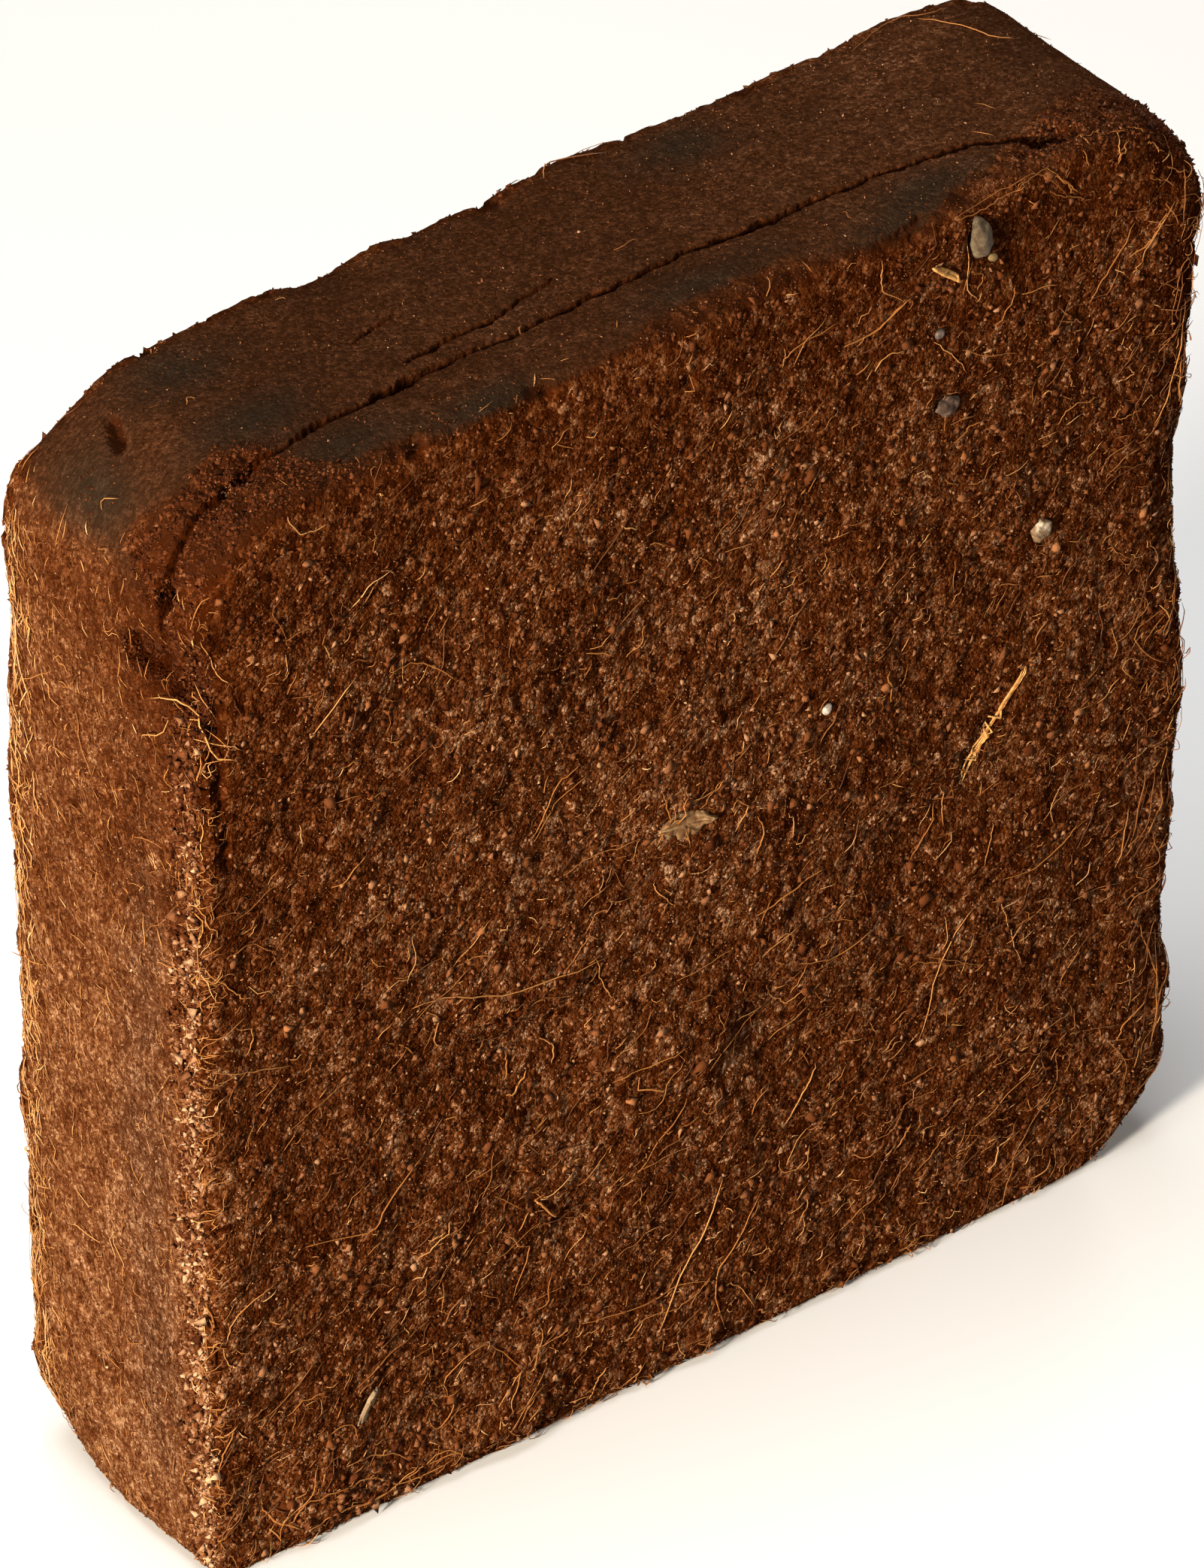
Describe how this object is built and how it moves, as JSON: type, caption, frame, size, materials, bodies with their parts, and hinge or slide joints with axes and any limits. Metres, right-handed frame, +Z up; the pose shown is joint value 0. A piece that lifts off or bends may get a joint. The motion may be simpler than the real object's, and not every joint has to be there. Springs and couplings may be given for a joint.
{
  "type": "coconut coir block",
  "caption": "Upright slab of pressed coconut pith and fibre with rounded corners and cracked layers, soaked in water to make growing medium.",
  "frame": {"origin": "middle of the narrow side that the block stands on", "axes": "+X along the width, +Y through the thickness from the front to the back, +Z up"},
  "size_m": [0.304, 0.0816, 0.3041],
  "materials": {
    "pressed_coir": "matt, crumbly pressed pith and fibre",
    "quartz": "half-clear, water-worn",
    "amber_grit": "half-clear",
    "grey_stone": "matt, water-worn",
    "slate": "matt, water-worn",
    "white_stone": "matt, broken",
    "husk_skin": "dry, matt",
    "shell_chip": "dry, matt",
    "straw": "dry, faint sheen",
    "coir_fibre": "dry, faint sheen",
    "bark": "dry, matt"
  },
  "bodies": {
    "root": {"coir_block": "pressed_coir", "quartz_pebble": "quartz", "amber_grit": "amber_grit", "small_grey_pebble": "grey_stone", "slate_pebble": "slate", "white_stone_chip": "white_stone", "husk_flake": "husk_skin", "shell_chip": "shell_chip", "straw_stub": "straw", "fibre_bundle": "coir_fibre", "bark_splinter": "bark"}
  },
  "joints": []
}
